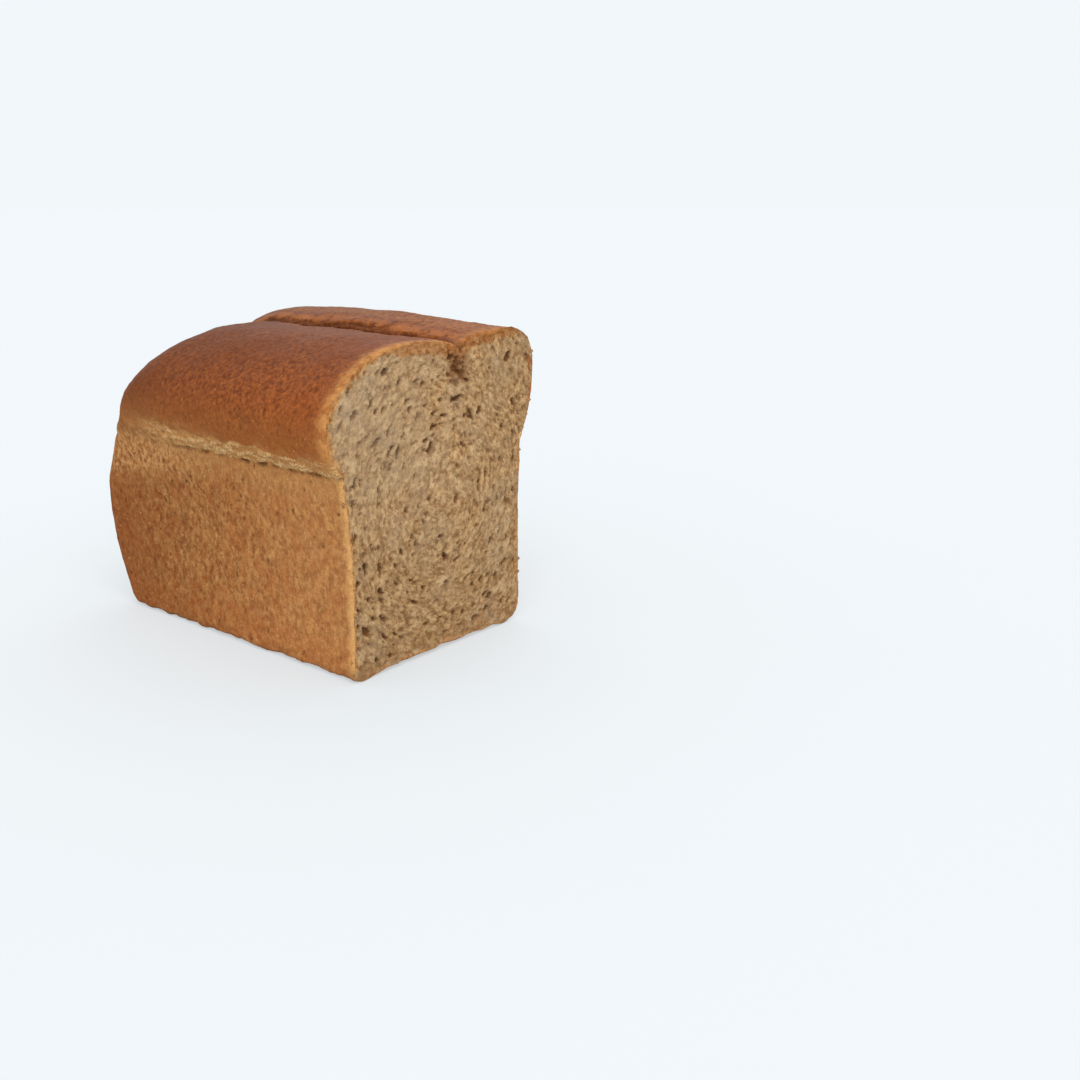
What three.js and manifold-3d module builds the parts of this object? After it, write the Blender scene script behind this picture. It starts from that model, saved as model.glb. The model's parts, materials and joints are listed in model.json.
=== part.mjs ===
// Most of a wholemeal tin loaf, cut square across, standing on its base.
// Millimetres, +Z up. X runs along the loaf from the baked heel to the cut, and Y across it
// from the front side to the rear side. The origin is on the ground under the loaf's middle.

import * as THREE from "three";
import { mergeVertices } from "three/addons/utils/BufferGeometryUtils.js";
import Module from "manifold-3d";

// Driving dimensions of the whole loaf
const LENGTH = 171;
const RIM_WIDTH = 105; // across the walls at the height where the tin ended
const RIM_HEIGHT = 84;
const WAIST_PINCH = 3.2; // how far each wall falls in below the rim
const CROWN_HEIGHT = 132; // top of the front lobe at the cut
const ARCH_RISE = 4.1; // how much higher the dome is at mid-length
const ARCH_X = -4.5; // where the dome is highest
const ARCH_POWER = 1.7; // how round the arch is along the loaf: 2 for a parabola
const HEEL_SETTLES = 60; // the stretch next to the heel over which pinch, overhang and tear come in
const BASE_HOLLOW = 1.5; // how far the base's middle has risen at the cut
const HOLLOW_REACH = 60; // the stretch behind the cut over which that hollow runs out

// The two long sides: foot corner, the dome's overhang past the rim, the lobe above it and how full
// it is, and how its end comes down at the heel: reach along the loaf, drop, and lean of the wall
const FRONT = {
  side: -1, foot: 5.2, flare: -1.6, overhang: 6.8, shoulder: 102, lobeY: -16, lift: 0, rise: 0.35,
  fullness: 0.46, endReach: 20, endDrop: 15, endLean: 45,
};
const REAR = {
  side: 1, foot: 12, flare: -2.5, overhang: 8.5, shoulder: 116.5, lobeY: 43, lift: 0.9, rise: 1,
  fullness: 0.63, endReach: 36, endDrop: 9, endLean: 14,
};

// The lengthwise crease between the two lobes
const CREASE_Y = 13;
const CREASE_DEPTH_AT_CUT = 3;
const CREASE_DEPTH = 8;
const CREASE_SETTLES = 35; // the stretch behind the cut over which it deepens and its lips steepen
const CREASE_WANDER = 1.2;

// The baked heel end: its belly, its wall's lean below that, how soon the wall turns in below and
// above the belly, and its upright edge's radius at the foot and above it
const BELLY_HEIGHT = 59;
const BASE_LEAN = 11.3;
const BASE_TURN = 2.8;
const TOP_TURN = 1.25;
const EDGE_BASE = 8;
const EDGE_WALL = 8;
const HEART_HEIGHT = 66; // the height that the heel's skin closes towards

// The torn band above the rim, and the unevenness of the whole crust
const TEAR_TOP = 93;
const TEAR_ROUGHNESS = 1.3;
const GROOVE_DEPTH = 1.4;
const GROOVE_WIDTH = 2.2;
const HEEL_TEAR = 0.4; // how strong the torn band and its groove still are at the heel
const CRUST_UNEVENNESS = 0.5;

// Open pores in the cut, drawn out along ovals round the middle of the rolled dough
const PORE_COUNT = 80;
const PORE_LENGTH = [2.8, 6];
const PORE_WIDTH = [1.7, 2.6];
const PORE_DEPTH = [1.2, 2.4];
const PORE_MARGIN = 6; // kept clear of the crust
const PORE_SPACING = 6.5;
const SWIRL = { y: 4, z: 70, tall: 1.15 };
// The largest pockets: place, size, and lean from upright towards the rear in degrees
const POCKETS = [
  { y: 12, z: 121, length: 9, width: 3.2, lean: 33 },
  { y: 45, z: 121, length: 6, width: 4.4, lean: 35 },
  { y: -27, z: 122, length: 5, width: 3, lean: 62 },
  { y: 12, z: 107, length: 9, width: 2.6, lean: 76 },
  { y: 26, z: 100, length: 5, width: 3.6, lean: 50 },
  { y: -4, z: 89, length: 7, width: 2.8, lean: 28 },
  { y: -22, z: 90, length: 7, width: 2.6, lean: 22 },
  { y: 3, z: 41, length: 5, width: 3.4, lean: -30 },
];
const POCKET_DEPTH = 3;

// Fineness of the mesh, in steps
const STEPS = { base: 3, foot: 3, wall: 9, tear: 6, dome: 11, crease: 5 };
const BODY_RINGS = 30;
const EDGE_RINGS = 7;
const END_RINGS = 6;
const PORE_SIDES = 8;
const PORE_RINGS = 5;

const { clamp, degToRad, lerp, radToDeg, smoothstep } = THREE.MathUtils;
const HALF = LENGTH / 2;
const RIM_Y = RIM_WIDTH / 2;

// A repeatable source of random numbers from 0 to 1
function randomSource(seed) {
  let state = seed;
  return () => {
    state = (state * 1664525 + 1013904223) % 4294967296;
    return state / 4294967296;
  };
}

// Smooth noise from -1 to 1 at a point in space
function noise(x, y, z) {
  const [i, j, k] = [x, y, z].map(Math.floor);
  const [u, v, w] = [x - i, y - j, z - k].map((t) => t * t * (3 - 2 * t));
  const corner = (a, b, c) => {
    const n = Math.sin(a * 127.1 + b * 311.7 + c * 74.7) * 43758.5453;
    return n - Math.floor(n);
  };
  const edge = (b, c) => lerp(corner(i, b, c), corner(i + 1, b, c), u);
  const face = (c) => lerp(edge(j, c), edge(j + 1, c), v);
  return 2 * lerp(face(k), face(k + 1), w) - 1;
}

// How much of the dome's arch is reached at x: 1 where it is highest, 0 at the cut
function archAt(x) {
  const along = (x - ARCH_X) / (HALF - ARCH_X);
  return Math.max(0, 1 - Math.abs(along) ** ARCH_POWER);
}

// One side of the section at x, from the base's middle over the foot, wall and dome to the crease
function sideCurves(x, shape) {
  const { side, foot, overhang, lobeY } = shape;
  const at = (y, z) => new THREE.Vector2(y, z);
  const arch = archAt(x) * ARCH_RISE;
  const settled = smoothstep(x, -HALF, -HALF + HEEL_SETTLES);
  const footY = side * (RIM_Y + shape.flare);
  const waistY = side * (RIM_Y - WAIST_PINCH * settled);
  const rimY = side * RIM_Y;
  const outerY = side * (RIM_Y + overhang * settled);
  const shoulder = shape.shoulder + arch / 3;
  const crown = CROWN_HEIGHT + shape.lift + arch * shape.rise;
  const hollow = BASE_HOLLOW * smoothstep(x, HALF - HOLLOW_REACH, HALF);
  const open = smoothstep(x, HALF - CREASE_SETTLES, HALF);
  const depth = lerp(CREASE_DEPTH, CREASE_DEPTH_AT_CUT, open);
  const creaseZ = CROWN_HEIGHT + arch - depth;
  const creaseY = CREASE_Y + CREASE_WANDER * Math.sin(x / 26);
  const curve = (...handles) => new THREE.CubicBezierCurve(...handles);
  return {
    base: curve(
      at(0, hollow), at(footY * 0.4, hollow), at(footY * 0.75, hollow), at(footY - side * foot, 0),
    ),
    foot: curve(
      at(footY - side * foot, 0), at(footY - side * foot * 0.3, 0),
      at(footY + side * 0.4, foot * 0.4), at(footY, foot),
    ),
    wall: curve(
      at(footY, foot), at(waistY - side * 0.6, RIM_HEIGHT * 0.36),
      at(waistY + side * 0.4, RIM_HEIGHT * 0.8), at(rimY, RIM_HEIGHT),
    ),
    tear: curve(
      at(rimY, RIM_HEIGHT), at(lerp(rimY, outerY, 0.55), lerp(RIM_HEIGHT, shoulder, 0.28)),
      at(outerY, lerp(RIM_HEIGHT, shoulder, 0.62)), at(outerY, shoulder),
    ),
    dome: curve(
      at(outerY, shoulder), at(outerY, lerp(shoulder, crown, shape.fullness)),
      at(lerp(lobeY, outerY, shape.fullness), crown), at(lobeY, crown),
    ),
    crease: curve(
      at(lobeY, crown), at(lerp(lobeY, creaseY, 0.6), crown),
      at(lerp(lobeY, creaseY, lerp(0.98, 0.85, open)), lerp(crown, creaseZ, lerp(0.1, 0.5, open))),
      at(creaseY, creaseZ),
    ),
  };
}

// The places of the outline's points, up the front and down the rear, as a stretch and a share along it
const OUTLINE = [FRONT, REAR].flatMap((shape) => {
  const places = Object.entries(STEPS).flatMap(([stretch, steps]) =>
    Array.from({ length: steps }, (_, n) => ({ shape, stretch, share: (n + 1) / steps })));
  return shape === FRONT ? [{ shape, stretch: "base", share: 0 }, ...places] : places.reverse().slice(1);
});

// A point of the outline of the section at x
function outlinePoint(x, { shape, stretch, share }) {
  const { x: y, y: z } = sideCurves(x, shape)[stretch].getPoint(share);
  return new THREE.Vector3(x, y, z);
}

// How the dome's end comes down at y, between the front side's way and the rear's
function domeEndAt(y) {
  const rear = smoothstep(y, FRONT.lobeY, REAR.lobeY);
  const between = (key) => lerp(FRONT[key], REAR[key], rear);
  return { reach: between("endReach"), drop: between("endDrop"), lean: between("endLean") };
}

// Where the heel's end wall stands
function heelWallAt({ y, z }) {
  if (z < BELLY_HEIGHT) {
    return -HALF + BASE_LEAN * (1 - z / BELLY_HEIGHT) ** BASE_TURN;
  }
  return -HALF + domeEndAt(y).lean * ((z - BELLY_HEIGHT) / (CROWN_HEIGHT - BELLY_HEIGHT)) ** TOP_TURN;
}

// The heel's edge at a point of the outline: its reach along the loaf and its depth across it
function heelEdgeAt({ y, z }) {
  const wall = lerp(EDGE_BASE, EDGE_WALL, smoothstep(z, 0, RIM_HEIGHT / 4));
  const dome = smoothstep(z, RIM_HEIGHT - 6, CROWN_HEIGHT);
  const end = domeEndAt(y);
  return { reach: lerp(wall, end.reach, dome), depth: lerp(wall, end.drop, dome) };
}

// How far the crust stands out of its smooth form at a point
function reliefAt({ x, y, z }) {
  const band = smoothstep(z, RIM_HEIGHT - 3, RIM_HEIGHT + 1) - smoothstep(z, TEAR_TOP - 3, TEAR_TOP + 5);
  const torn = band * TEAR_ROUGHNESS * noise(x / 5, y / 5, z / 3);
  const groove = GROOVE_DEPTH * Math.exp(-(((z - RIM_HEIGHT) / GROOVE_WIDTH) ** 2));
  const strength = lerp(HEEL_TEAR, 1, smoothstep(x, -HALF, -HALF + HEEL_SETTLES));
  const lumps = CRUST_UNEVENNESS * noise(x / 17, y / 17 + 9, z / 15);
  return ((torn - groove) * strength + lumps) * smoothstep(z, 0.5, 3);
}

// The way out of the loaf at a point of the skin, where turn goes from the sides, 0, to the end wall, 1
function outwardAt({ y, z }, turn) {
  const boxy = (share) => Math.sign(share) * Math.abs(share) ** 5;
  const across = new THREE.Vector3(0, boxy(y / RIM_Y), boxy((z - HEART_HEIGHT) / HEART_HEIGHT));
  const quarter = (turn * Math.PI) / 2;
  return across.normalize().multiplyScalar(Math.cos(quarter)).setX(-Math.sin(quarter));
}

// A place of the outline on a ring: along the body, round the heel's edge, then over its end wall
function skinPoint(place, ring) {
  const start = outlinePoint(-HALF + EDGE_WALL, place);
  const { reach, depth } = heelEdgeAt(start);
  const body = Math.min(ring / BODY_RINGS, 1);
  const turn = clamp((ring - BODY_RINGS) / EDGE_RINGS, 0, 1);
  const closing = Math.max(ring - BODY_RINGS - EDGE_RINGS, 0) / END_RINGS;
  const point = outlinePoint(lerp(HALF, heelWallAt(start) + reach, body), place);
  const inset = depth * (1 - Math.cos((turn * Math.PI) / 2));
  point.y *= (1 - inset / RIM_Y) * (1 - closing);
  point.z = HEART_HEIGHT + (point.z - HEART_HEIGHT) * (1 - inset / HEART_HEIGHT) * (1 - closing);
  if (turn > 0) {
    point.x = heelWallAt(point) + reach * (1 - Math.sin((turn * Math.PI) / 2));
  }
  return point.addScaledVector(outwardAt(point, turn), reliefAt(point));
}

// The whole skin: rings from the cut to the heel's middle, with a flat cap over the cut
function skinGeometry() {
  const count = OUTLINE.length;
  const rings = BODY_RINGS + EDGE_RINGS + END_RINGS;
  const points = [];
  const faces = [];
  for (let ring = 0; ring < rings; ring++) {
    points.push(...OUTLINE.map((place) => skinPoint(place, ring)));
  }
  const quad = (a, b, c, d) => faces.push(a, b, c, a, c, d);
  for (let ring = 0; ring + 1 < rings; ring++) {
    for (let i = 0; i < count; i++) {
      const next = (i + 1) % count;
      quad(ring * count + i, ring * count + next, (ring + 1) * count + next, (ring + 1) * count + i);
    }
  }
  const last = (rings - 1) * count;
  const heart = new THREE.Vector3(0, 0, HEART_HEIGHT);
  points.push(heart.setX(heelWallAt(heart)));
  for (let i = 0; i < count; i++) {
    faces.push(last + i, last + ((i + 1) % count), points.length - 1);
  }
  const cut = points.slice(0, count).map(({ y, z }) => new THREE.Vector2(y, z));
  for (const [a, b, c] of THREE.ShapeUtils.triangulateShape(cut, [])) {
    faces.push(a, b, c);
  }
  return new THREE.BufferGeometry().setFromPoints(points).setIndex(faces);
}

// One pore: a long hollow across the plane of the cut, drawn out along its lean
function poreGeometry({ y, z, length, width, lean, depth }) {
  return new THREE.SphereGeometry(1, PORE_SIDES, PORE_RINGS)
    .scale(depth, width / 2, length / 2)
    .rotateX(-degToRad(lean))
    .translate(HALF, y, z);
}

// Pores scattered over the cut, each leaning along the oval that it lies on
function scatteredPores() {
  const random = randomSource(7);
  const between = ([low, high]) => lerp(low, high, random());
  const pores = [];
  const top = CROWN_HEIGHT - CREASE_DEPTH_AT_CUT - PORE_MARGIN;
  while (pores.length < PORE_COUNT) {
    const y = lerp(-RIM_Y, RIM_Y, random());
    const z = lerp(0, top, random());
    const dome = Math.max(z - RIM_HEIGHT, 0) / (CROWN_HEIGHT - RIM_HEIGHT);
    const reach = (RIM_Y - PORE_MARGIN) * Math.sqrt(1 - dome ** 2);
    const clear = [...pores, ...POCKETS].every((p) => Math.hypot(p.y - y, p.z - z) > PORE_SPACING);
    if (Math.abs(y) < reach && z > PORE_MARGIN && clear) {
      const lean = radToDeg(Math.atan2((z - SWIRL.z) / SWIRL.tall, (SWIRL.y - y) * SWIRL.tall));
      pores.push({
        y, z, lean, length: between(PORE_LENGTH), width: between(PORE_WIDTH), depth: between(PORE_DEPTH),
      });
    }
  }
  return pores;
}

const wasm = await Module();
wasm.setup();

// A closed geometry as a solid that can be cut
function solidOf(geometry) {
  const bare = geometry.clone();
  bare.deleteAttribute("normal");
  bare.deleteAttribute("uv");
  const merged = mergeVertices(bare, 1e-4);
  return new wasm.Manifold(new wasm.Mesh({
    numProp: 3,
    vertProperties: merged.attributes.position.array,
    triVerts: new Uint32Array(merged.index.array),
  }));
}

// A solid as a geometry with flat faces
function geometryOf(solid) {
  const { vertProperties, triVerts } = solid.getMesh();
  const geometry = new THREE.BufferGeometry();
  geometry.setAttribute("position", new THREE.BufferAttribute(vertProperties, 3));
  geometry.setIndex(new THREE.BufferAttribute(triVerts, 1));
  const flat = geometry.toNonIndexed();
  flat.computeVertexNormals();
  return flat;
}

// The loaf with its pores opened, its box centred over the origin
function loafGeometry() {
  let solid = solidOf(skinGeometry());
  const pockets = POCKETS.map((pocket) => ({ ...pocket, depth: POCKET_DEPTH }));
  for (const pore of [...scatteredPores(), ...pockets]) {
    solid = solid.subtract(solidOf(poreGeometry(pore)));
  }
  const geometry = geometryOf(solid);
  geometry.computeBoundingBox();
  const middle = geometry.boundingBox.getCenter(new THREE.Vector3());
  return geometry.translate(-middle.x, -middle.y, -geometry.boundingBox.min.z);
}

const crust = new THREE.MeshStandardMaterial({ color: 0xa9713f, roughness: 0.75, metalness: 0 });
const loaf = new THREE.Mesh(loafGeometry(), crust);
loaf.name = "loaf";

const model = new THREE.Group();
model.add(loaf);

export default model;
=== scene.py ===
import json
import math
import random

import bpy
from mathutils import Matrix, Vector

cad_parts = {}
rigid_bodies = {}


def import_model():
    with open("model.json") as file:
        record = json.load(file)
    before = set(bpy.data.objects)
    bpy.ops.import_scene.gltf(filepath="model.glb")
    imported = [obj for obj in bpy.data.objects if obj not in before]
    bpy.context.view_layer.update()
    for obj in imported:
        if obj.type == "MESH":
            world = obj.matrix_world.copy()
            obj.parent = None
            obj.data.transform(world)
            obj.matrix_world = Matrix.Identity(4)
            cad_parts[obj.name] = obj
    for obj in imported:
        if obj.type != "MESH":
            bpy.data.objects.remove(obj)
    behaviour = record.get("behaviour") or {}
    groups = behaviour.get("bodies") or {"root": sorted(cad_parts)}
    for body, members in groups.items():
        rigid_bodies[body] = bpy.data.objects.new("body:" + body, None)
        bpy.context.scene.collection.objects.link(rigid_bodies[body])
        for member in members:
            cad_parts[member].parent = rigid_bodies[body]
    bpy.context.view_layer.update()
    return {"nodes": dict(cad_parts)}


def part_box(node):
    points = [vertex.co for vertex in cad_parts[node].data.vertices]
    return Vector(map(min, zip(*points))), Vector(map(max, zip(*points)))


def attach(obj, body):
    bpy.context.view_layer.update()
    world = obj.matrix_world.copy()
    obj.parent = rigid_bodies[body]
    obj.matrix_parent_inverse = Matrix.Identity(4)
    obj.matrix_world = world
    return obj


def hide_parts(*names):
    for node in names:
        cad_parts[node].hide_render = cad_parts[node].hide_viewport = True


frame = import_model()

# Sizes are in millimetres here, and in metres in the scene
MM = 0.001

# The loaf's own lines, as the solid has them: its box, the tin's rim, and the crease along the dome
LOAF_LOW, LOAF_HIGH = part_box("loaf")
CUT_X = LOAF_HIGH.x / MM
HEEL_X = LOAF_LOW.x / MM
RIM_HEIGHT = 84
RIM_Y = 52.5
CREASE_Y = 12.1
CREASE_WANDER = 1.2
CREASE_WAVE = 26

# All that lies higher than this is the top of the dome, on both sides of the crease
TOP_HEIGHT = 116

# The ovals that the dough was rolled in, which the grain of the crumb follows
SWIRL_Y = 3.1
SWIRL_Z = 70
SWIRL_TALL = 1.15
SWIRL_HEART = 14

# How the skin is made from the solid, and how near to a plane a face's middle or a point counts as in it
SKIN_LEVELS = 2
MERGE_GAP = 0.01
QUAD_ANGLE = math.radians(40)
SMOOTH_ANGLE = math.radians(75)
EDGE_ROUND = 1.8
FACE_NEAR = 0.05
POINT_NEAR = 0.02

# The fine plate that the crumb is made from, and how crumb and crust are closed out of sight behind it
CUT_GRAIN = 0.42
PLATE_DEPTH = 1
PLATE_MARGIN = 4
TRIM_REACH = 5
CRUMB_RECESS = 9.6
CRUMB_TAPER = 0.97
CRUST_LIP = 0.8
CRUST_RECESS = 12
CRUST_TAPER = 0.965

# The morsels that cling along the edge of the cut
MORSEL_COUNT = 16
MORSEL_SIZE = (0.8, 1.9)
MORSEL_HEIGHT = (6, 124)
MORSEL_SEED = 5

# The pale room, and the width of its floor in metres
ROOM_TONE = (242, 247, 250)
FLOOR_WIDTH = 200


def clear_selection():
    """Leaves nothing selected, in object mode."""
    bpy.ops.object.select_all(action="DESELECT")


def make_active(piece):
    """Selects one piece alone and makes it the active one."""
    clear_selection()
    piece.select_set(True)
    bpy.context.view_layer.objects.active = piece


def edit(piece, mode):
    """Opens a piece for editing with nothing of it selected."""
    make_active(piece)
    bpy.ops.object.mode_set(mode="EDIT")
    bpy.ops.mesh.select_mode(type=mode)
    bpy.ops.mesh.select_all(action="DESELECT")


def close_edit():
    bpy.ops.object.mode_set(mode="OBJECT")


def select_where(piece, parts, test):
    """Selects the vertices or faces of a piece in edit mode that pass a test."""
    close_edit()
    for part in getattr(piece.data, parts):
        part.select = test(part)
    bpy.ops.object.mode_set(mode="EDIT")


def apply_modifier(piece, kind, **settings):
    make_active(piece)
    modifier = piece.modifiers.new(kind.title(), kind)
    for name, value in settings.items():
        setattr(modifier, name, value)
    bpy.ops.object.modifier_apply(modifier=modifier.name)


# Wiring of nodes, for reliefs and finishes alike

def add_node(tree, kind, inputs=None, **settings):
    """Adds a node, sets its options, and fills its inputs with values or links."""
    node = tree.nodes.new(kind)
    for name, value in settings.items():
        setattr(node, name, value)
    for key, value in (inputs or {}).items():
        if isinstance(value, bpy.types.NodeSocket):
            tree.links.new(value, node.inputs[key])
        else:
            node.inputs[key].default_value = value
    return node


def math_of(tree, operation, *values):
    node = add_node(tree, "ShaderNodeMath", dict(enumerate(values)), operation=operation)
    return node.outputs[0]


def total(tree, *values):
    """The sum of several values."""
    result = values[0]
    for value in values[1:]:
        result = math_of(tree, "ADD", result, value)
    return result


def product(tree, *values):
    """The product of several values."""
    result = values[0]
    for value in values[1:]:
        result = math_of(tree, "MULTIPLY", result, value)
    return result


def less(tree, first, second):
    """The first value less the second."""
    return math_of(tree, "SUBTRACT", first, second)


def larger(tree, first, second):
    return math_of(tree, "MAXIMUM", first, second)


def size_of(tree, value):
    """A value without its sign."""
    return math_of(tree, "ABSOLUTE", value)


def step(tree, value, low, high, start=0.0, end=1.0):
    """A smooth step from start to end while a value goes from low to high."""
    inputs = {"Value": value, "From Min": low, "From Max": high, "To Min": start, "To Max": end}
    return add_node(tree, "ShaderNodeMapRange", inputs, interpolation_type="SMOOTHSTEP").outputs[0]


def scaled(tree, vector, factor):
    """A vector times one number for all its directions."""
    inputs = {0: vector, "Scale": factor}
    return add_node(tree, "ShaderNodeVectorMath", inputs, operation="SCALE").outputs[0]


def times(tree, vector, factors):
    """A vector times a separate factor for each direction."""
    inputs = {0: vector, 1: factors}
    return add_node(tree, "ShaderNodeVectorMath", inputs, operation="MULTIPLY").outputs[0]


def summed(tree, first, second):
    """The sum of two vectors."""
    return add_node(tree, "ShaderNodeVectorMath", {0: first, 1: second}, operation="ADD").outputs[0]


def split(tree, vector):
    return add_node(tree, "ShaderNodeSeparateXYZ", {0: vector}).outputs


def joined(tree, x, y, z):
    return add_node(tree, "ShaderNodeCombineXYZ", {0: x, 1: y, 2: z}).outputs[0]


def noise(tree, place, size, detail=2.0, rough=0.5):
    """Noise from 0 to 1 whose lumps are about size millimetres across."""
    inputs = {"Vector": place, "Scale": 1.0 / size, "Detail": detail, "Roughness": rough}
    return add_node(tree, "ShaderNodeTexNoise", inputs, noise_dimensions="3D").outputs["Fac"]


def swing(tree, place, size, detail=2.0):
    """Noise that swings about zero, from -1 to 1 and mostly within half of that."""
    return math_of(tree, "MULTIPLY_ADD", noise(tree, place, size, detail), 2.0, -1.0)


def cells(tree, place, size):
    """Scattered cells about size across: the distance to the nearest middle, and two random numbers."""
    inputs = {"Vector": place, "Scale": 1.0 / size, "Randomness": 0.95}
    node = add_node(tree, "ShaderNodeTexVoronoi", inputs, voronoi_dimensions="3D", feature="F1")
    luck = split(tree, node.outputs["Color"])
    return product(tree, node.outputs["Distance"], size), luck[0], luck[1]


def swirl_place(tree, place, along):
    """Millimetre place turned so that noise is drawn out along the ovals of the rolled dough."""
    _, y, z = split(tree, place)
    across = less(tree, y, SWIRL_Y)
    upward = math_of(tree, "DIVIDE", less(tree, z, SWIRL_Z), SWIRL_TALL)
    squares = total(tree, product(tree, across, across), product(tree, upward, upward), SWIRL_HEART ** 2)
    bends = product(tree, swing(tree, place, 30, 1), 9)
    radius = total(tree, math_of(tree, "SQRT", squares), bends)
    return joined(tree, product(tree, across, along), product(tree, upward, along), radius)


def off_crease(tree, x, y):
    """How far to the side of the crease a place is."""
    wave = math_of(tree, "SINE", math_of(tree, "DIVIDE", x, CREASE_WAVE))
    return less(tree, y, math_of(tree, "MULTIPLY_ADD", wave, CREASE_WANDER, CREASE_Y))


def off_crease_at_cut(tree, y):
    """How far from the crease a place on the cut is, to either side."""
    return size_of(tree, less(tree, y, CREASE_Y))


# Reliefs, made with Geometry Nodes and then applied

def new_relief(name):
    """An empty relief tree with its geometry coming in, and the millimetre place of each vertex."""
    tree = bpy.data.node_groups.new(name, "GeometryNodeTree")
    tree.is_modifier = True
    tree.interface.new_socket("Geometry", in_out="INPUT", socket_type="NodeSocketGeometry")
    tree.interface.new_socket("Geometry", in_out="OUTPUT", socket_type="NodeSocketGeometry")
    shape = add_node(tree, "NodeGroupInput").outputs[0]
    place = scaled(tree, add_node(tree, "GeometryNodeInputPosition").outputs[0], 1 / MM)
    return tree, shape, place


def kept(tree, shape, marks):
    """Stores named numbers on each vertex, for the finishes to read."""
    for name, value in marks.items():
        inputs = {"Geometry": shape, "Name": name, "Value": value}
        node = add_node(tree, "GeometryNodeStoreNamedAttribute", inputs, data_type="FLOAT")
        shape = node.outputs[0]
    return shape


def moved(tree, shape, offset):
    """Moves each vertex by an offset in millimetres."""
    inputs = {"Geometry": shape, "Offset": scaled(tree, offset, MM)}
    return add_node(tree, "GeometryNodeSetPosition", inputs).outputs[0]


def apply_relief(piece, tree, shape):
    add_node(tree, "NodeGroupOutput", {0: shape})
    apply_modifier(piece, "NODES", node_group=tree)


def rim_tear(tree, place):
    """The torn band above the rim, its flakes, and the gap under them, which the relief sinks and the crust
    finish paints with shade, each from 0 to 1.
    """
    x, _, z = split(tree, place)
    heelward = step(tree, x, HEEL_X + 20, HEEL_X + 95, 1, 0)
    ragged = product(tree, swing(tree, times(tree, place, (1, 1, 0.5)), 7, 3), 3.4)
    height = total(tree, z, ragged)
    top = math_of(tree, "MULTIPLY_ADD", heelward, 5.0, RIM_HEIGHT + 8)
    top = total(tree, top, step(tree, x, 20, CUT_X, 0, -1.6))
    soft = math_of(tree, "MULTIPLY_ADD", heelward, 4.5, 1.3)
    foot = total(tree, z, product(tree, ragged, 0.25))
    above = step(tree, math_of(tree, "DIVIDE", less(tree, foot, RIM_HEIGHT), soft), -0.4, 0.4)
    below = step(tree, math_of(tree, "DIVIDE", less(tree, top, height), soft), -0.5, 0.5)
    band = product(tree, above, below, math_of(tree, "MULTIPLY_ADD", heelward, -0.5, 1.0))
    strands = noise(tree, times(tree, place, (0.34, 0.34, 1)), 2.3, 3, 0.55)
    flakes = product(tree, band, step(tree, strands, 0.42, 0.6), step(tree, heelward, 0, 1, 1.0, 0.25))
    gap = step(tree, size_of(tree, less(tree, foot, RIM_HEIGHT - 0.3)), 1.2, 0.3)
    broken = step(tree, noise(tree, place, 8, 2), 0.36, 0.56)
    gap = product(tree, gap, broken, less(tree, 1.0, heelward))
    return band, flakes, gap


def crease_tear(tree, place):
    """How far the torn lips of the crease stand up, and how deep its floor and cracks open."""
    x, y, z = split(tree, place)
    aside = off_crease(tree, x, y)
    beside = size_of(tree, aside)
    high = step(tree, z, TOP_HEIGHT - 12, TOP_HEIGHT)
    teeth = swing(tree, times(tree, place, (1, 0.45, 1)), 1.7, 3)
    cutward = step(tree, x, CUT_X - 18, CUT_X, 1.5, 0.4)
    lips = product(tree, step(tree, beside, 6.5, 2.0), teeth, high, cutward)
    open_floor = step(tree, noise(tree, times(tree, place, (1, 0.3, 0.3)), 9), 0.35, 0.6)
    torn_open = total(tree, product(tree, open_floor, 2.8), 0.8)
    floor = product(tree, step(tree, beside, 1.7, 0.5), high, torn_open)
    floor = product(tree, floor, step(tree, x, CUT_X - 25, CUT_X, 1, 0.15))
    wavy = total(tree, aside, product(tree, swing(tree, place, 14, 2), 2.5))
    crack = step(tree, size_of(tree, less(tree, wavy, 3.2)), 1.3, 0.4)
    crack = product(tree, crack, step(tree, noise(tree, place, 11, 2), 0.36, 0.56), 1.3)
    second = step(tree, size_of(tree, total(tree, wavy, 6.5)), 1.1, 0.2)
    second = product(tree, second, step(tree, x, 8, 40), 0.7)
    return lips, larger(tree, floor, product(tree, larger(tree, crack, second), high))


def worn_edge(tree, place):
    """How far the crust is worn back along the edge of the cut."""
    x, y, _ = split(tree, place)
    edge = math_of(tree, "POWER", step(tree, x, CUT_X - EDGE_ROUND, CUT_X + EDGE_ROUND, 0, 2), 2.0)
    worn = total(tree, 0.8, product(tree, swing(tree, place, 2.2, 3), 1.1), swing(tree, place, 9, 2))
    worn = product(tree, worn, step(tree, y, 30, 48, 1.0, 0.3))
    worn = total(tree, worn, step(tree, y, 30, 48, 0, -0.6))
    return product(tree, edge, worn)


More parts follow.
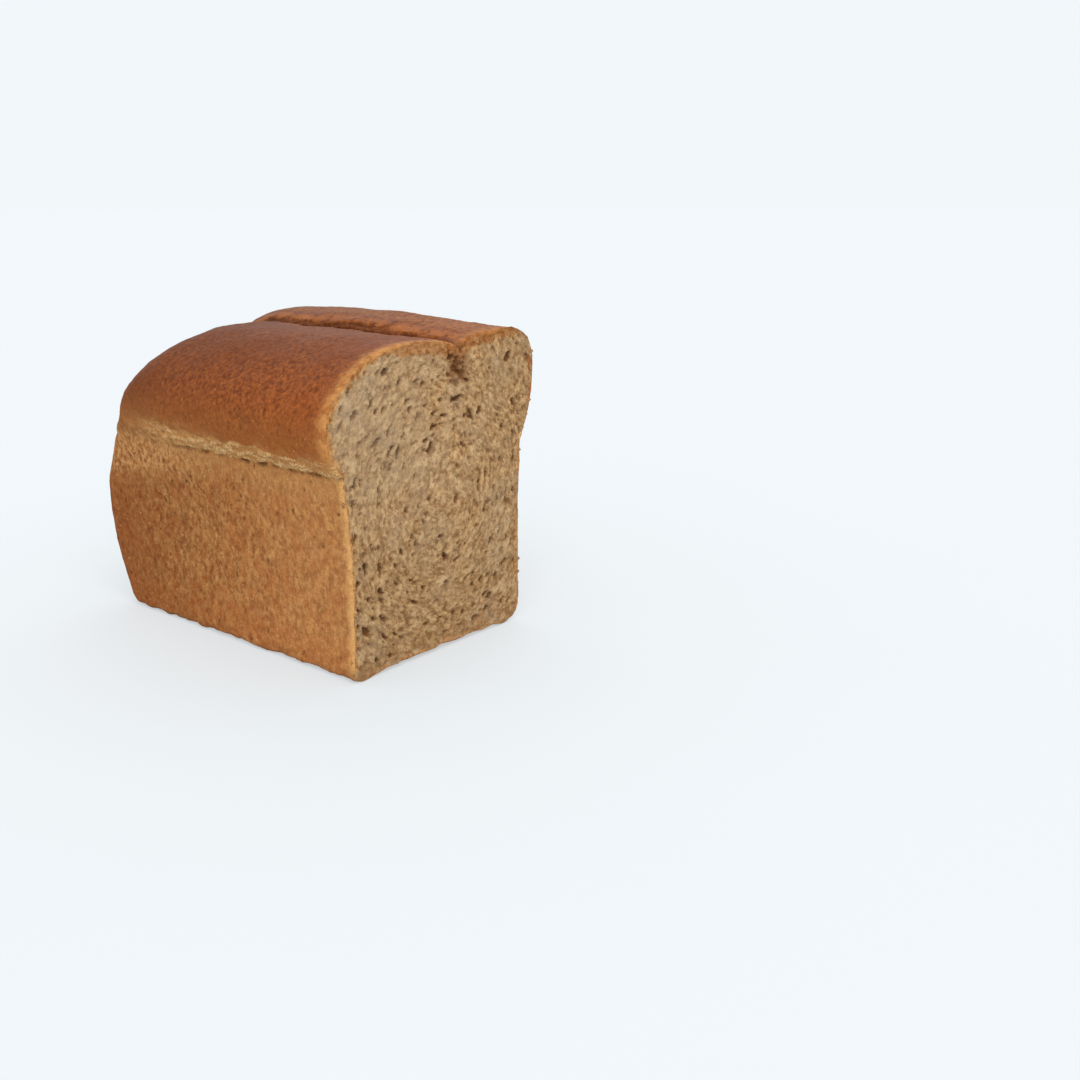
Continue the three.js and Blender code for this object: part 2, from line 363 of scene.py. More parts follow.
def crust_relief(skin):
    """Torn flakes above the rim, the crease's broken lips, a lumpy foot, and an uneven crust."""
    tree, shape, place = new_relief("Crust relief")
    x, _, z = split(tree, place)
    band, flakes, gap = rim_tear(tree, place)
    curl = total(tree, 0.7, product(tree, swing(tree, place, 1.6, 2), 1.1))
    torn = total(tree, product(tree, flakes, curl), product(tree, band, -0.45), product(tree, gap, -1.1))
    lips, opened = crease_tear(tree, place)
    under_rim = step(tree, z, RIM_HEIGHT - 9, RIM_HEIGHT - 1)
    over_rim = step(tree, z, RIM_HEIGHT + 7, RIM_HEIGHT)
    rounded = product(tree, step(tree, x, HEEL_X + 50, HEEL_X + 10), under_rim, over_rim, 0.9)
    foot = product(tree, step(tree, z, 9, 1), swing(tree, place, 8, 3), 1.9)
    lumps = product(tree, swing(tree, place, 11, 2), 0.6)
    away, luck, _ = cells(tree, times(tree, place, (1, 1, 0.75)), 5.6)
    pitted = product(tree, step(tree, away, 0.9, 0.3), step(tree, luck, 0.6, 0.8))
    pitted = product(tree, pitted, step(tree, z, 110, 70), -0.45)
    grain = product(tree, swing(tree, times(tree, place, (1, 1, 0.8)), 2.6, 3), 0.26)
    raised = total(tree, torn, lips, rounded, foot, lumps, pitted, grain)
    raised = less(tree, less(tree, raised, opened), worn_edge(tree, place))
    pit = product(tree, pitted, -2.0)
    shape = kept(tree, shape, {"band": band, "flakes": flakes, "gap": gap, "pit": pit, "split": opened})
    along, across, upward = split(tree, add_node(tree, "GeometryNodeInputNormal").outputs[0])
    along = product(tree, along, step(tree, x, CUT_X, CUT_X - 3))
    outward = joined(tree, along, across, upward)
    off_table = step(tree, z, 0.02, 1.2)
    shape = moved(tree, shape, scaled(tree, outward, product(tree, raised, off_table)))
    apply_relief(skin, tree, shape)


def pore_layer(tree, place, drawn, size, share, width, depth):
    """Scattered pores drawn out along the ovals: how hollow the crumb is, in millimetres."""
    away, luck, other = cells(tree, swirl_place(tree, place, drawn), size)
    edge = step(tree, luck, 1 - share, 1.0, 0.0, width)
    inside = step(tree, less(tree, edge, away), 0.0, width * 0.5)
    return product(tree, inside, step(tree, other, 0, 1, depth * 0.4, depth))


def felt_pores(tree, place, wobble, solid):
    """The large pores of the solid, felt for from just outside the cut."""
    _, y, z = split(tree, place)
    start = joined(tree, CUT_X + 1, y, z)
    start = scaled(tree, summed(tree, start, scaled(tree, wobble, 0.8)), MM)
    solid_shape = add_node(tree, "GeometryNodeObjectInfo", {0: solid}).outputs["Geometry"]
    feel = {"Target Geometry": solid_shape, "Source Position": start, "Ray Direction": (-1, 0, 0)}
    hit = add_node(tree, "GeometryNodeRaycast", feel)
    felt = less(tree, math_of(tree, "DIVIDE", hit.outputs["Hit Distance"], MM), 1.0)
    return product(tree, step(tree, felt, 0.15, 3.4, 0, 3.4), hit.outputs["Is Hit"])


def crumb_pores(tree, place, wobble, bent, solid):
    """How hollow the crumb is: the solid's pores, three finer layers, and torn crumb beneath the crease."""
    _, y, z = split(tree, place)
    large = felt_pores(tree, place, wobble, solid)
    middling = pore_layer(tree, bent, 0.5, 4.6, 0.65, 1.8, 2.8)
    small = pore_layer(tree, summed(tree, bent, (9, 5, 3)), 0.65, 2.9, 0.75, 1.3, 1.8)
    pinholes = pore_layer(tree, summed(tree, bent, (3, 14, 8)), 0.6, 2.0, 0.9, 1.0, 1.0)
    open_here = step(tree, noise(tree, place, 17, 2), 0.3, 0.65, 0.7, 1.15)
    open_here = product(tree, open_here, step(tree, z, 2, 12, 0.6, 1.0))
    finer = product(tree, larger(tree, middling, larger(tree, small, pinholes)), open_here)
    beneath = step(tree, off_crease_at_cut(tree, y), 7, 3)
    beneath = product(tree, beneath, step(tree, z, TOP_HEIGHT - 5, TOP_HEIGHT))
    beneath = product(tree, beneath, step(tree, noise(tree, bent, 3.4, 2), 0.45, 0.6), 2.8)
    return larger(tree, larger(tree, large, finer), beneath)


def rind_depth(tree, y, z):
    """How deep the crust is baked at the cut: thin on the walls, deepest in front of the crease."""
    front = step(tree, y, -30, -12, 0, 3.4)
    rear = step(tree, y, 14, 22, 0, -0.9)
    shoulder = step(tree, y, 47, 57, 0, -2.3)
    crease = step(tree, off_crease_at_cut(tree, y), 4.5, 1.0, 0, -2.4)
    high = step(tree, z, TOP_HEIGHT - 18, TOP_HEIGHT)
    top = product(tree, total(tree, front, rear, shoulder, crease), high)
    flank = product(tree, step(tree, y, -30, -44, 0, 1.1), step(tree, z, RIM_HEIGHT - 4, RIM_HEIGHT + 8))
    bare = total(tree, step(tree, y, 44, 51, 0, -1.6), step(tree, z, 7, 2, 0, -1.2))
    return total(tree, top, flank, bare, 1.3)


def crumb_relief(crumb, skin, solid):
    """Opens the pores of the cut and keeps where its rind is baked."""
    tree, shape, place = new_relief("Crumb relief")
    x, y, z = split(tree, place)
    at_cut = math_of(tree, "GREATER_THAN", x, CUT_X - POINT_NEAR)
    skin_shape = add_node(tree, "GeometryNodeObjectInfo", {0: skin}).outputs["Geometry"]
    nearest = add_node(tree, "GeometryNodeProximity", {0: skin_shape}, target_element="FACES")
    inward = math_of(tree, "DIVIDE", nearest.outputs["Distance"], MM)

    elsewhere = summed(tree, place, (40, 0, 0))
    wobble = joined(tree, 0.0, swing(tree, place, 1.5, 3), swing(tree, elsewhere, 1.5, 3))
    bent = summed(tree, place, scaled(tree, wobble, 1.4))
    hollow = crumb_pores(tree, place, wobble, bent, solid)
    grain = swing(tree, swirl_place(tree, bent, 0.85), 2.1, 4)
    sway = product(tree, swing(tree, place, 15, 1), 0.6)

    ragged = total(tree, inward, product(tree, swing(tree, place, 3.4, 3), 3.0))
    baked = step(tree, less(tree, ragged, rind_depth(tree, y, z)), 1.0, -1.0)
    closed = step(tree, baked, 1.0, 0.35, 0.5, 1.0)
    beside_rind = product(tree, step(tree, inward, 1, 3), step(tree, inward, 10, 6), step(tree, y, -22, -34))
    hollow = product(tree, hollow, step(tree, beside_rind, 0, 1, 1.0, 1.4))
    hollow = product(tree, hollow, closed, step(tree, inward, 0.2, 1.3))
    uneven = product(tree, total(tree, grain, sway, -0.15), step(tree, inward, -0.9, 1.5))
    # The pore depth kept here also sets the painted shade that the crumb finish lays in the pores
    marks = {"baked": product(tree, baked, at_cut), "pore": product(tree, hollow, at_cut)}
    shape = kept(tree, shape, marks)
    sunk = product(tree, less(tree, uneven, hollow), at_cut)
    shape = moved(tree, shape, joined(tree, sunk, 0.0, 0.0))
    apply_relief(crumb, tree, shape)


def morsel_relief(morsels):
    """Makes each morsel craggy."""
    tree, shape, place = new_relief("Morsel relief")
    crags = product(tree, swing(tree, place, 0.9, 3), 0.8)
    # The hollows of the crags are kept as pores, which the crumb finish darkens as painted shade
    shape = kept(tree, shape, {"pore": step(tree, crags, 0.1, -0.4), "baked": 0.2})
    normal = add_node(tree, "GeometryNodeInputNormal").outputs[0]
    shape = moved(tree, shape, scaled(tree, normal, crags))
    apply_relief(morsels, tree, shape)


# The loaf's pieces: the crust all round, the crumb that shows at the cut, and morsels along its edge

def select_open_edges():
    """Selects the edges that have a face on one side only."""
    bpy.ops.mesh.select_non_manifold(
        extend=False, use_wire=False, use_multi_face=False, use_non_contiguous=False)


def extrude_open_edges(along):
    """Carries the selected edges along the loaf by a distance in millimetres."""
    bpy.ops.mesh.extrude_edges_move(TRANSFORM_OT_translate={"value": (along * MM, 0, 0)})


def draw_in(share):
    """Draws what is selected in towards its middle, across the loaf, to a share of its size."""
    bpy.ops.transform.resize(value=(1, share, share))


def close_mesh():
    """Fills the selected loop, turns every face outwards, and leaves edit mode."""
    bpy.ops.mesh.edge_face_add()
    bpy.ops.mesh.select_all(action="SELECT")
    bpy.ops.mesh.normals_make_consistent(inside=False)
    close_edit()


def copy_of(piece, name):
    twin = piece.copy()
    twin.data = piece.data.copy()
    twin.name = name
    bpy.context.collection.objects.link(twin)
    return twin


def is_torn(place):
    """Whether a place is at the torn band or beside the crease, where the crust needs finer faces."""
    at_band = RIM_HEIGHT - 3 < place.z < RIM_HEIGHT + 16
    return at_band or (place.z > TOP_HEIGHT - 8 and abs(place.y - CREASE_Y) < 9)


def make_skin(solid):
    """The crust as an open skin: a merged copy of the solid without its cut and the pores in it."""
    skin = copy_of(solid, "loaf_crust")
    skin.data.materials.clear()
    edit(skin, "VERT")
    bpy.ops.mesh.select_all(action="SELECT")
    bpy.ops.mesh.remove_doubles(threshold=MERGE_GAP * MM)
    bpy.ops.mesh.tris_convert_to_quads(face_threshold=QUAD_ANGLE, shape_threshold=QUAD_ANGLE)
    bpy.ops.mesh.select_mode(type="FACE")
    select_where(skin, "polygons", lambda face: face.center.x > (CUT_X - FACE_NEAR) * MM)
    bpy.ops.mesh.delete(type="FACE")
    bpy.ops.mesh.select_mode(type="VERT")
    select_where(skin, "vertices", lambda corner: corner.co.x < 0)
    bpy.ops.mesh.select_linked()
    bpy.ops.mesh.select_all(action="INVERT")
    bpy.ops.mesh.delete(type="VERT")
    close_edit()
    apply_modifier(skin, "SUBSURF", levels=SKIN_LEVELS, render_levels=SKIN_LEVELS)
    edit(skin, "FACE")
    select_where(skin, "polygons", lambda face: is_torn(face.center / MM))
    bpy.ops.mesh.subdivide(number_cuts=1)
    close_edit()
    crust_relief(skin)
    return skin


def make_trimmer(skin):
    """The loaf's form carried a little past the cut and closed, to trim the crumb's plate with."""
    trimmer = copy_of(skin, "trimmer")
    edit(trimmer, "EDGE")
    select_open_edges()
    extrude_open_edges(TRIM_REACH)
    close_mesh()
    return trimmer


def make_plate():
    """A finely divided plate over the whole cut, with its fine side in the plane of the cut."""
    clear_selection()
    tall = LOAF_HIGH.z / MM + PLATE_MARGIN
    wide = (LOAF_HIGH.y - LOAF_LOW.y) / MM + PLATE_MARGIN
    bpy.ops.mesh.primitive_grid_add(
        x_subdivisions=round(tall / CUT_GRAIN), y_subdivisions=round(wide / CUT_GRAIN), size=1,
        location=(LOAF_HIGH.x, 0, LOAF_HIGH.z / 2), rotation=(0, math.pi / 2, 0))
    plate = bpy.context.active_object
    plate.name = "loaf_crumb"
    plate.scale = (tall * MM, wide * MM, 1)
    bpy.ops.object.transform_apply(location=True, rotation=True, scale=True)
    edit(plate, "EDGE")
    select_open_edges()
    extrude_open_edges(-PLATE_DEPTH)
    close_mesh()
    return plate


def make_crumb(skin, solid):
    """The crumb at the cut: the plate trimmed to the crust's edge, carried back, and roughened."""
    crumb = make_plate()
    trimmer = make_trimmer(skin)
    apply_modifier(crumb, "BOOLEAN", operation="INTERSECT", object=trimmer, solver="MANIFOLD")
    bpy.data.objects.remove(trimmer)
    crumb.data.materials.clear()
    edit(crumb, "FACE")
    back = CUT_X - PLATE_DEPTH + FACE_NEAR
    select_where(crumb, "polygons", lambda face: face.center.x < back * MM)
    draw_in(CRUMB_TAPER)
    bpy.ops.mesh.extrude_region_move(TRANSFORM_OT_translate={"value": (-CRUMB_RECESS * MM, 0, 0)})
    close_edit()
    crumb_relief(crumb, skin, solid)
    return crumb


def add_morsel(place, size, chance):
    """One lump of crumb, squashed and turned at random."""
    bpy.ops.mesh.primitive_ico_sphere_add(subdivisions=3, radius=size / 2, location=place)
    morsel = bpy.context.active_object
    morsel.scale = [chance.uniform(0.6, 1.2) for _ in range(3)]
    morsel.rotation_euler = [chance.uniform(0, math.tau) for _ in range(3)]
    bpy.ops.object.transform_apply(location=True, rotation=True, scale=True)
    return morsel


def make_morsels(skin):
    """Small crumbs that still cling along the edge of the cut, on its rear side."""
    chance = random.Random(MORSEL_SEED)
    edge = [corner.co.copy() for corner in skin.data.vertices if corner.co.x > (CUT_X - POINT_NEAR) * MM]
    rear = [place for place in edge if place.y > 0.9 * RIM_Y * MM]
    clear_selection()
    morsels = []
    for _ in range(MORSEL_COUNT):
        height = chance.uniform(*MORSEL_HEIGHT) * MM
        place = min(rear, key=lambda spot: abs(spot.z - height)).copy()
        place += Vector((chance.uniform(-1.6, 0), chance.uniform(-0.3, 0.3), 0)) * MM
        morsels.append(add_morsel(place, chance.uniform(*MORSEL_SIZE) * MM, chance))
    for morsel in morsels:
        morsel.select_set(True)
    bpy.ops.object.join()
    cluster = bpy.context.active_object
    cluster.name = "loaf_morsels"
    morsel_relief(cluster)
    bpy.ops.object.shade_smooth()
    return cluster


def close_crust(skin):
    """Turns the crust's edge in at the cut and closes it behind the crumb, where it isn't seen."""
    edit(skin, "EDGE")
    select_open_edges()
    extrude_open_edges(-CRUST_LIP)
    draw_in(CRUST_TAPER)
    extrude_open_edges(-CRUST_RECESS)
    close_mesh()


def make_loaf(solid):
    """The whole loaf, parted along the edge of the cut into crust and crumb, and its morsels."""
    crust = make_skin(solid)
    crumb = make_crumb(crust, solid)
    morsels = make_morsels(crust)
    close_crust(crust)
    for piece in (crust, crumb):
        make_active(piece)
        bpy.ops.object.shade_smooth_by_angle(angle=SMOOTH_ANGLE)
    return crust, crumb, morsels


# Finishes

def new_finish(name, **constants):
    """A material with its shader, and the millimetre place on the piece."""
    material = bpy.data.materials.new(name)
    material.use_nodes = True
    tree = material.node_tree
    shader = tree.nodes["Principled BSDF"]
    for key, value in constants.items():
        shader.inputs[key.replace("_", " ")].default_value = value
    place = scaled(tree, add_node(tree, "ShaderNodeTexCoord").outputs["Object"], 1 / MM)
    return material, tree, shader, place


def colour(red, green, blue):
    """A colour as a camera shows it, 0 to 255, turned into light."""
    def light(value):
        value /= 255
        return value / 12.92 if value <= 0.04045 else ((value + 0.055) / 1.055) ** 2.4
    return (light(red), light(green), light(blue), 1.0)


def mixed(tree, share, first, second):
    """One colour turning into another as the share goes from 0 to 1."""
    inputs = {0: share, 6: first, 7: second}
    return add_node(tree, "ShaderNodeMix", inputs, data_type="RGBA").outputs[2]


def shaded(tree, tone, factor):
    """A colour made lighter or darker by a factor."""
    inputs = {0: 1.0, 6: tone, 7: joined(tree, factor, factor, factor)}
    return add_node(tree, "ShaderNodeMix", inputs, data_type="RGBA", blend_type="MULTIPLY").outputs[2]


def stored(tree, name):
    """A number that a relief kept on the piece."""
    return add_node(tree, "ShaderNodeAttribute", attribute_name=name).outputs["Fac"]


def bumped(tree, shader, height):
    """Gives a shader fine relief from a height in millimetres."""
    inputs = {"Height": height, "Distance": MM, "Strength": 1.0}
    tree.links.new(add_node(tree, "ShaderNodeBump", inputs).outputs[0], shader.inputs["Normal"])


def bare_edge(tree, y, z):
    """Where the edge of the cut shows plain crumb brown: on the rear side and at the foot."""
    return larger(tree, step(tree, y, 36, 50), step(tree, z, 9, 3))


def side_tone(tree, place, mottle, streaks, patches):
    """The tin sides: golden brown, redder at the heel and the foot, paler to the rim and the cut, with
    painted shade darkening them toward the heel and along the very foot.
    """
    x, y, z = split(tree, place)
    tone = mixed(tree, step(tree, mottle, 0.27, 0.73), colour(122, 68, 32), colour(182, 126, 72))
    tone = mixed(tree, step(tree, streaks, 0.5, 0.72, 0, 0.5), tone, colour(202, 150, 96))
    tone = mixed(tree, step(tree, patches, 0.4, 0.7, 0, 0.42), tone, colour(158, 84, 38))
    tone = mixed(tree, step(tree, z, RIM_HEIGHT - 18, RIM_HEIGHT, 0, 0.35), tone, colour(180, 130, 78))
    tone = mixed(tree, step(tree, x, -10, CUT_X, 0, 0.25), tone, colour(176, 130, 82))
    tone = mixed(tree, step(tree, x, HEEL_X, HEEL_X + 70, 0.5, 0), tone, colour(148, 78, 34))
    tone = mixed(tree, step(tree, z, 26, 4, 0, 0.35), tone, colour(158, 88, 42))
    # Painted shade: the sides grow darker toward the heel, and darkest in the last millimetres above the
    # floor
    shadow = product(tree, step(tree, x, HEEL_X, CUT_X, 0.72, 1.06), step(tree, z, 0.5, 2.5, 0.6, 1))
    tone = shaded(tree, tone, shadow)
    cutward = step(tree, total(tree, x, product(tree, mottle, 5)), CUT_X - 3, CUT_X + 3.5, 0, 0.7)
    edge = mixed(tree, bare_edge(tree, y, z), colour(204, 156, 98), colour(160, 122, 84))
    return mixed(tree, cutward, tone, edge)


def dome_tone(tree, place, mottle, streaks, grainy):
    """The dome: red brown, darkest on top and at the heel, golden along the edge of the cut."""
    x, y, z = split(tree, place)
    broad = noise(tree, place, 30, 2)
    tone = mixed(tree, step(tree, grainy, 0.28, 0.72), colour(92, 42, 15), colour(142, 76, 33))
    tone = mixed(tree, step(tree, streaks, 0.52, 0.7, 0, 0.3), tone, colour(156, 92, 46))
    tone = mixed(tree, step(tree, broad, 0.35, 0.65, 0, 0.4), tone, colour(112, 54, 20))
    tone = mixed(tree, step(tree, x, HEEL_X, HEEL_X + 110, 0.6, 0.0), tone, colour(84, 44, 24))
    tone = shaded(tree, tone, step(tree, x, 0, CUT_X, 1.0, 1.2))
    tone = mixed(tree, step(tree, z, RIM_HEIGHT + 30, RIM_HEIGHT + 8, 0, 0.55), tone, colour(160, 98, 50))
    tone = shaded(tree, tone, step(tree, z, RIM_HEIGHT + 28, RIM_HEIGHT + 46, 1.0, 0.78))
    golden = step(tree, total(tree, x, product(tree, mottle, 6)), CUT_X - 5, CUT_X + 3, 0, 0.8)
    golden = product(tree, golden, step(tree, noise(tree, place, 4, 3), 0.38, 0.6, 0.4, 1))
    golden = product(tree, golden, step(tree, y, -20, 14, 1, 0.6))
    edge = mixed(tree, bare_edge(tree, y, z), colour(190, 134, 76), colour(168, 128, 86))
    return mixed(tree, golden, tone, edge)


def with_band(tree, place, tone, fine):
    """Lays the torn band over the crust: straw flakes, a light zone toward the heel, and painted shade in
    the gaps under the flakes.
    """
    x, _, z = split(tree, place)
    straw = mixed(tree, step(tree, fine, 0.3, 0.7), colour(160, 116, 70), colour(214, 176, 124))
    toward_heel = step(tree, x, HEEL_X, HEEL_X + 110, 1, 0)
    pale = product(tree, stored(tree, "band"), step(tree, toward_heel, 0.2, 0.9, 0.55, 0.1))
    tone = mixed(tree, pale, tone, colour(184, 134, 80))
    lowest = step(tree, z, RIM_HEIGHT + 10, RIM_HEIGHT + 2, 0.55, 0.9)
    tone = mixed(tree, product(tree, step(tree, stored(tree, "flakes"), 0.05, 0.75), lowest), tone, straw)
    level = total(tree, z, step(tree, x, HEEL_X + 5, HEEL_X + 90, 8.5, 0))
    soft = step(tree, x, HEEL_X + 45, HEEL_X + 115, 1, 0)
    soft = product(tree, soft, step(tree, level, RIM_HEIGHT + 15, RIM_HEIGHT + 6))
    soft = product(tree, soft, step(tree, level, RIM_HEIGHT - 18, RIM_HEIGHT - 3))
    soft = product(tree, soft, step(tree, noise(tree, place, 2.4, 3, 0.6), 0.35, 0.68, 0.0, 0.7))
    tone = mixed(tree, soft, tone, colour(200, 150, 96))
    # Painted shade: the gap under the flakes is darkened
    return mixed(tree, product(tree, stored(tree, "gap"), 0.75), tone, colour(82, 46, 22))


def with_crease(tree, place, tone, grainy, patches):
    """Lays the crease over the crust: golden slopes, a far wall darkened with painted shade, and painted
    shade on the open floor and cracks.
    """
    x, y, z = split(tree, place)
    aside = off_crease(tree, x, y)
    high = step(tree, z, TOP_HEIGHT - 8, TOP_HEIGHT)
    flank = product(tree, step(tree, aside, 2, 5), step(tree, aside, 13, 7), high)
    flank = product(tree, flank, step(tree, patches, 0.3, 0.6, 0, 0.5))
    tone = mixed(tree, flank, tone, colour(172, 104, 52))
    crest = product(tree, step(tree, aside, -12, -5), step(tree, aside, -1, -3), high)
    crest = product(tree, crest, step(tree, grainy, 0.3, 0.6, 0, 0.55))
    tone = mixed(tree, crest, tone, colour(192, 124, 64))
    beyond = product(tree, step(tree, aside, 9, 16), step(tree, aside, 44, 30), high)
    beyond = product(tree, beyond, step(tree, grainy, 0.3, 0.7, 0, 0.42))
    tone = mixed(tree, beyond, tone, colour(174, 112, 56))
    shade = product(tree, step(tree, aside, -1, 1), step(tree, aside, 5, 2.5), high)
    shade = product(tree, shade, step(tree, patches, 0.25, 0.5, 0, 0.45))
    tone = mixed(tree, shade, tone, colour(88, 44, 18))
    # Painted shade: where the crease split open, its sunk floor and cracks are darkened
    return mixed(tree, step(tree, stored(tree, "split"), 0.2, 1.2, 0, 0.75), tone, colour(74, 36, 16))


def bran_specks(tree, place, mottle, fine):
    """Bran specks of uneven size and outline in the crust, from 0 to 1."""
    kinks = scaled(tree, joined(tree, fine, mottle, fine), 3.0)
    away, luck, other = cells(tree, summed(tree, times(tree, place, (1, 1, 0.75)), kinks), 3.8)
    reach = step(tree, other, 0, 1, 0.4, 0.95)
    speck = step(tree, less(tree, reach, away), 0, 0.5)
    return product(tree, speck, step(tree, luck, 0.6, 0.7))


def with_specks(tree, place, tone, speck):
    """Lays bran specks, pits and pale flecks over the crust, plainest on the tin sides."""
    _, _, z = split(tree, place)
    plain = step(tree, z, RIM_HEIGHT, RIM_HEIGHT + 20, 0.5, 0.25)
    tone = mixed(tree, product(tree, speck, plain), tone, colour(84, 44, 20))
    tone = mixed(tree, product(tree, stored(tree, "pit"), 0.6), tone, colour(88, 46, 20))
    away, luck, _ = cells(tree, summed(tree, place, (31, 17, 5)), 2.8)
    fleck = product(tree, step(tree, away, 0.7, 0.3), step(tree, luck, 0.6, 0.66))
    fleck = product(tree, fleck, step(tree, z, RIM_HEIGHT, RIM_HEIGHT + 20, 0.4, 0.14))
    return mixed(tree, fleck, tone, colour(206, 150, 90))


def crust_finish():
    """Baked crust: red brown on the dome, golden brown on the tin sides, straw where it tore."""
    material, tree, shader, place = new_finish("baked crust", IOR=1.4, Specular_IOR_Level=0.1)
    x, _, z = split(tree, place)
    patches = noise(tree, place, 7, 3)
    mottle = noise(tree, times(tree, place, (1, 1, 0.85)), 2.6, 4, 0.62)
    streaks = noise(tree, times(tree, place, (1, 1, 0.6)), 2.1, 3, 0.6)
    grainy = noise(tree, place, 1.9, 4, 0.62)
    fine = noise(tree, place, 0.9, 3, 0.6)
    speck = bran_specks(tree, place, mottle, fine)

    side = side_tone(tree, place, mottle, streaks, patches)
    dome = dome_tone(tree, place, mottle, streaks, grainy)
    ragged = total(tree, z, product(tree, swing(tree, place, 8, 3), 6))
    all_dome = step(tree, x, HEEL_X + 50, CUT_X - 40, RIM_HEIGHT + 18, RIM_HEIGHT + 11)
    tone = mixed(tree, step(tree, ragged, RIM_HEIGHT, all_dome), side, dome)
    tone = with_band(tree, place, tone, fine)
    tone = with_crease(tree, place, tone, grainy, patches)
    tone = with_specks(tree, place, tone, speck)
    tone = shaded(tree, tone, step(tree, fine, 0.25, 0.75, 0.85, 1.15))
    tree.links.new(tone, shader.inputs["Base Color"])

    matt = step(tree, z, RIM_HEIGHT + 8, RIM_HEIGHT + 34, 0.85, 0.5)
    tree.links.new(total(tree, matt, product(tree, mottle, 0.1)), shader.inputs["Roughness"])
    height = total(tree, product(tree, mottle, 0.4), product(tree, fine, 0.32), product(tree, speck, -0.4))
    bumped(tree, shader, height)
    return material


def crumb_tone(tree, place, drawn, pore):
    """The crumb: pale walls and strands, pores darkened to brown with painted shade, bran specks, greyer
    above and in front, painted shade in the torn hollow under the crease, and painted shade low down and
    toward the rear.
    """
    _, y, z = split(tree, place)
    clouds = noise(tree, place, 15, 2)
    tone = mixed(tree, step(tree, drawn, 0.28, 0.72), colour(122, 83, 48), colour(192, 155, 110))
    tone = mixed(tree, step(tree, clouds, 0.4, 0.68, 0, 0.4), tone, colour(164, 138, 108))
    tone = mixed(tree, step(tree, z, 16, 3, 0, 0.4), tone, colour(134, 94, 56))
    tone = shaded(tree, tone, step(tree, noise(tree, place, 4.5, 2), 0.3, 0.7, 0.88, 1.1))
    strands = noise(tree, swirl_place(tree, summed(tree, place, (7, 3, 12)), 0.5), 3.2, 3, 0.6)
    tone = mixed(tree, step(tree, strands, 0.52, 0.68, 0, 0.45), tone, colour(206, 174, 132))
    # Painted shade: the deeper a pore, the darker brown it is painted
    tone = mixed(tree, step(tree, pore, 0.15, 1.8, 0, 0.76), tone, colour(92, 54, 27))
    away, luck, _ = cells(tree, place, 2.4)
    speck = product(tree, step(tree, away, 0.8, 0.3), step(tree, luck, 0.55, 0.62))
    tone = mixed(tree, product(tree, speck, 0.5), tone, colour(128, 70, 34))
    upper = product(tree, step(tree, y, 0, -30), step(tree, z, 60, 85, 0, 0.25))
    tone = mixed(tree, upper, tone, colour(172, 152, 124))
    # Painted shade in the torn hollow beneath the crease
    beneath = step(tree, off_crease_at_cut(tree, y), 8, 2)
    beneath = product(tree, beneath, step(tree, z, TOP_HEIGHT - 5, TOP_HEIGHT + 2, 0, 0.65))
    tone = mixed(tree, beneath, tone, colour(120, 74, 40))
    # Painted shade: the cut face is darker low down and toward the rear side
    lit = math_of(tree, "MINIMUM", step(tree, z, 30, 80, 0.87, 0.97), step(tree, y, 5, 42, 1.0, 0.9))
    return shaded(tree, tone, lit)


def rind_tone(tree, place, drawn, fine):
    """The baked rim of the cut: golden on the walls, russet along the top, with lighter patches."""
    _, y, z = split(tree, place)
    golden = mixed(tree, step(tree, drawn, 0.32, 0.68), colour(124, 74, 36), colour(192, 142, 88))
    russet = mixed(tree, step(tree, fine, 0.3, 0.7), colour(98, 50, 22), colour(154, 92, 46))
    crest = product(tree, step(tree, y, -36, -12, 0, 0.6), step(tree, z, 90, 110))
    tone = mixed(tree, larger(tree, crest, step(tree, y, 8, 20, 0, 0.6)), golden, russet)
    patches = noise(tree, place, 3.6, 3)
    return mixed(tree, step(tree, patches, 0.5, 0.62, 0, 0.5), tone, colour(184, 138, 90))


def crumb_finish():
    """Wholemeal crumb: pale walls, pores darkened to brown with painted shade, bran specks, and a baked edge
    along the crust, whose pores get darker painted shade still.
    """
    material, tree, shader, place = new_finish(
        "wholemeal crumb", IOR=1.35, Specular_IOR_Level=0.1, Roughness=0.95)
    baked, pore = stored(tree, "baked"), stored(tree, "pore")
    drawn = noise(tree, swirl_place(tree, place, 0.8), 2.2, 4, 0.68)
    fine = noise(tree, place, 0.8, 3, 0.65)
    rind = rind_tone(tree, place, drawn, fine)
    tone = mixed(tree, product(tree, baked, 0.9), crumb_tone(tree, place, drawn, pore), rind)
    # Painted shade: pores inside the baked rim are darkened further
    rind_pore_shade = product(tree, step(tree, pore, 0.3, 1.5), baked, 0.6)
    tone = mixed(tree, rind_pore_shade, tone, colour(104, 54, 26))
    tone = shaded(tree, tone, step(tree, fine, 0.25, 0.75, 0.9, 1.1))
    tree.links.new(tone, shader.inputs["Base Color"])
    bumped(tree, shader, total(tree, product(tree, drawn, 0.5), product(tree, fine, 0.3)))
    return material


def floor_finish():
    """Plain pale paper, as bright as the room behind it, that glows a little so shadows stay faint."""
    material, tree, shader, place = new_finish(
        "pale floor", Roughness=1.0, Specular_IOR_Level=0.0,
        Emission_Color=colour(*ROOM_TONE), Emission_Strength=0.5)
    pale = mixed(tree, noise(tree, place, 300), colour(149, 151, 152), colour(151, 153, 154))
    tree.links.new(pale, shader.inputs["Base Color"])
    return material


# Camera, light and floor

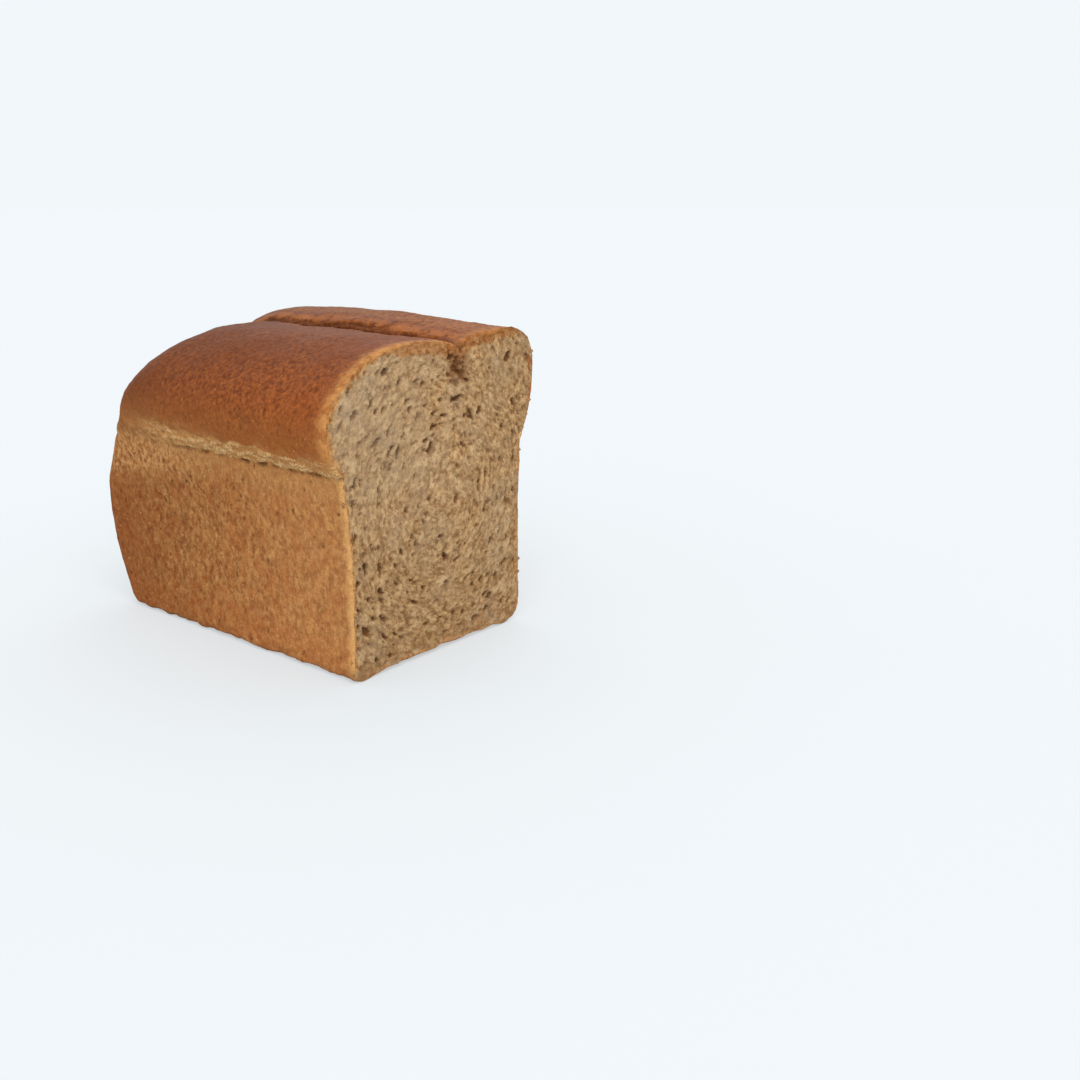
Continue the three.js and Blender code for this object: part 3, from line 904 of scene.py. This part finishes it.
def add_camera():
    """A camera on the near side, a little above the loaf, turned towards the cut."""
    turn, rise, roll = math.radians(39.35), math.radians(16.27), math.radians(-0.24)
    distance, aside, target_height = 536.17, 107.54, 32.64
    level = Vector((math.cos(turn), math.sin(turn), 0))
    back = Vector((math.sin(turn) * math.cos(rise), -math.cos(turn) * math.cos(rise), math.sin(rise)))
    upward = back.cross(level)
    target = level * aside + Vector((0, 0, target_height))
    right = level * math.cos(roll) + upward * math.sin(roll)
    top = upward * math.cos(roll) - level * math.sin(roll)
    data = bpy.data.cameras.new("camera")
    data.lens, data.sensor_width = 38.11, 36
    data.clip_start, data.clip_end = 0.01, 50
    camera = bpy.data.objects.new("camera", data)
    bpy.context.collection.objects.link(camera)
    pose = Matrix((right, top, back)).transposed().to_4x4()
    pose.translation = (target + back * distance) * MM
    camera.matrix_world = pose
    bpy.context.scene.camera = camera


def add_light(name, towards, power, softness):
    """A soft far light, from the direction that a vector points in."""
    data = bpy.data.lights.new(name, "SUN")
    data.energy, data.angle = power, math.radians(softness)
    light = bpy.data.objects.new(name, data)
    bpy.context.collection.objects.link(light)
    light.rotation_euler = Vector(towards).to_track_quat("Z", "Y").to_euler()


def add_floor():
    clear_selection()
    bpy.ops.mesh.primitive_plane_add(size=FLOOR_WIDTH, location=(0, 0, 0))
    floor = bpy.context.active_object
    floor.name = "floor"
    floor.data.materials.append(floor_finish())


def set_light():
    """The pale room all round, and two soft suns."""
    world = bpy.data.worlds.new("pale room")
    bpy.context.scene.world = world
    world.use_nodes = True
    room = world.node_tree.nodes["Background"].inputs
    room["Color"].default_value = colour(*ROOM_TONE)
    room["Strength"].default_value = 1.0
    add_light("key", (0.62, -0.42, 0.66), 2.0, 50)
    add_light("rear", (-0.45, 0.5, 0.75), 0.6, 60)
    bpy.context.scene.view_settings.view_transform = "Standard"


add_camera()
crust, crumb, morsels = make_loaf(frame["nodes"]["loaf"])
crumb_material = crumb_finish()
crust.data.materials.append(crust_finish())
crumb.data.materials.append(crumb_material)
morsels.data.materials.append(crumb_material)
for piece, slot in ((crust, "crust"), (crumb, "crumb"), (morsels, "crumb")):
    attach(piece, "root")
    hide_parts("loaf")
add_floor()
set_light()
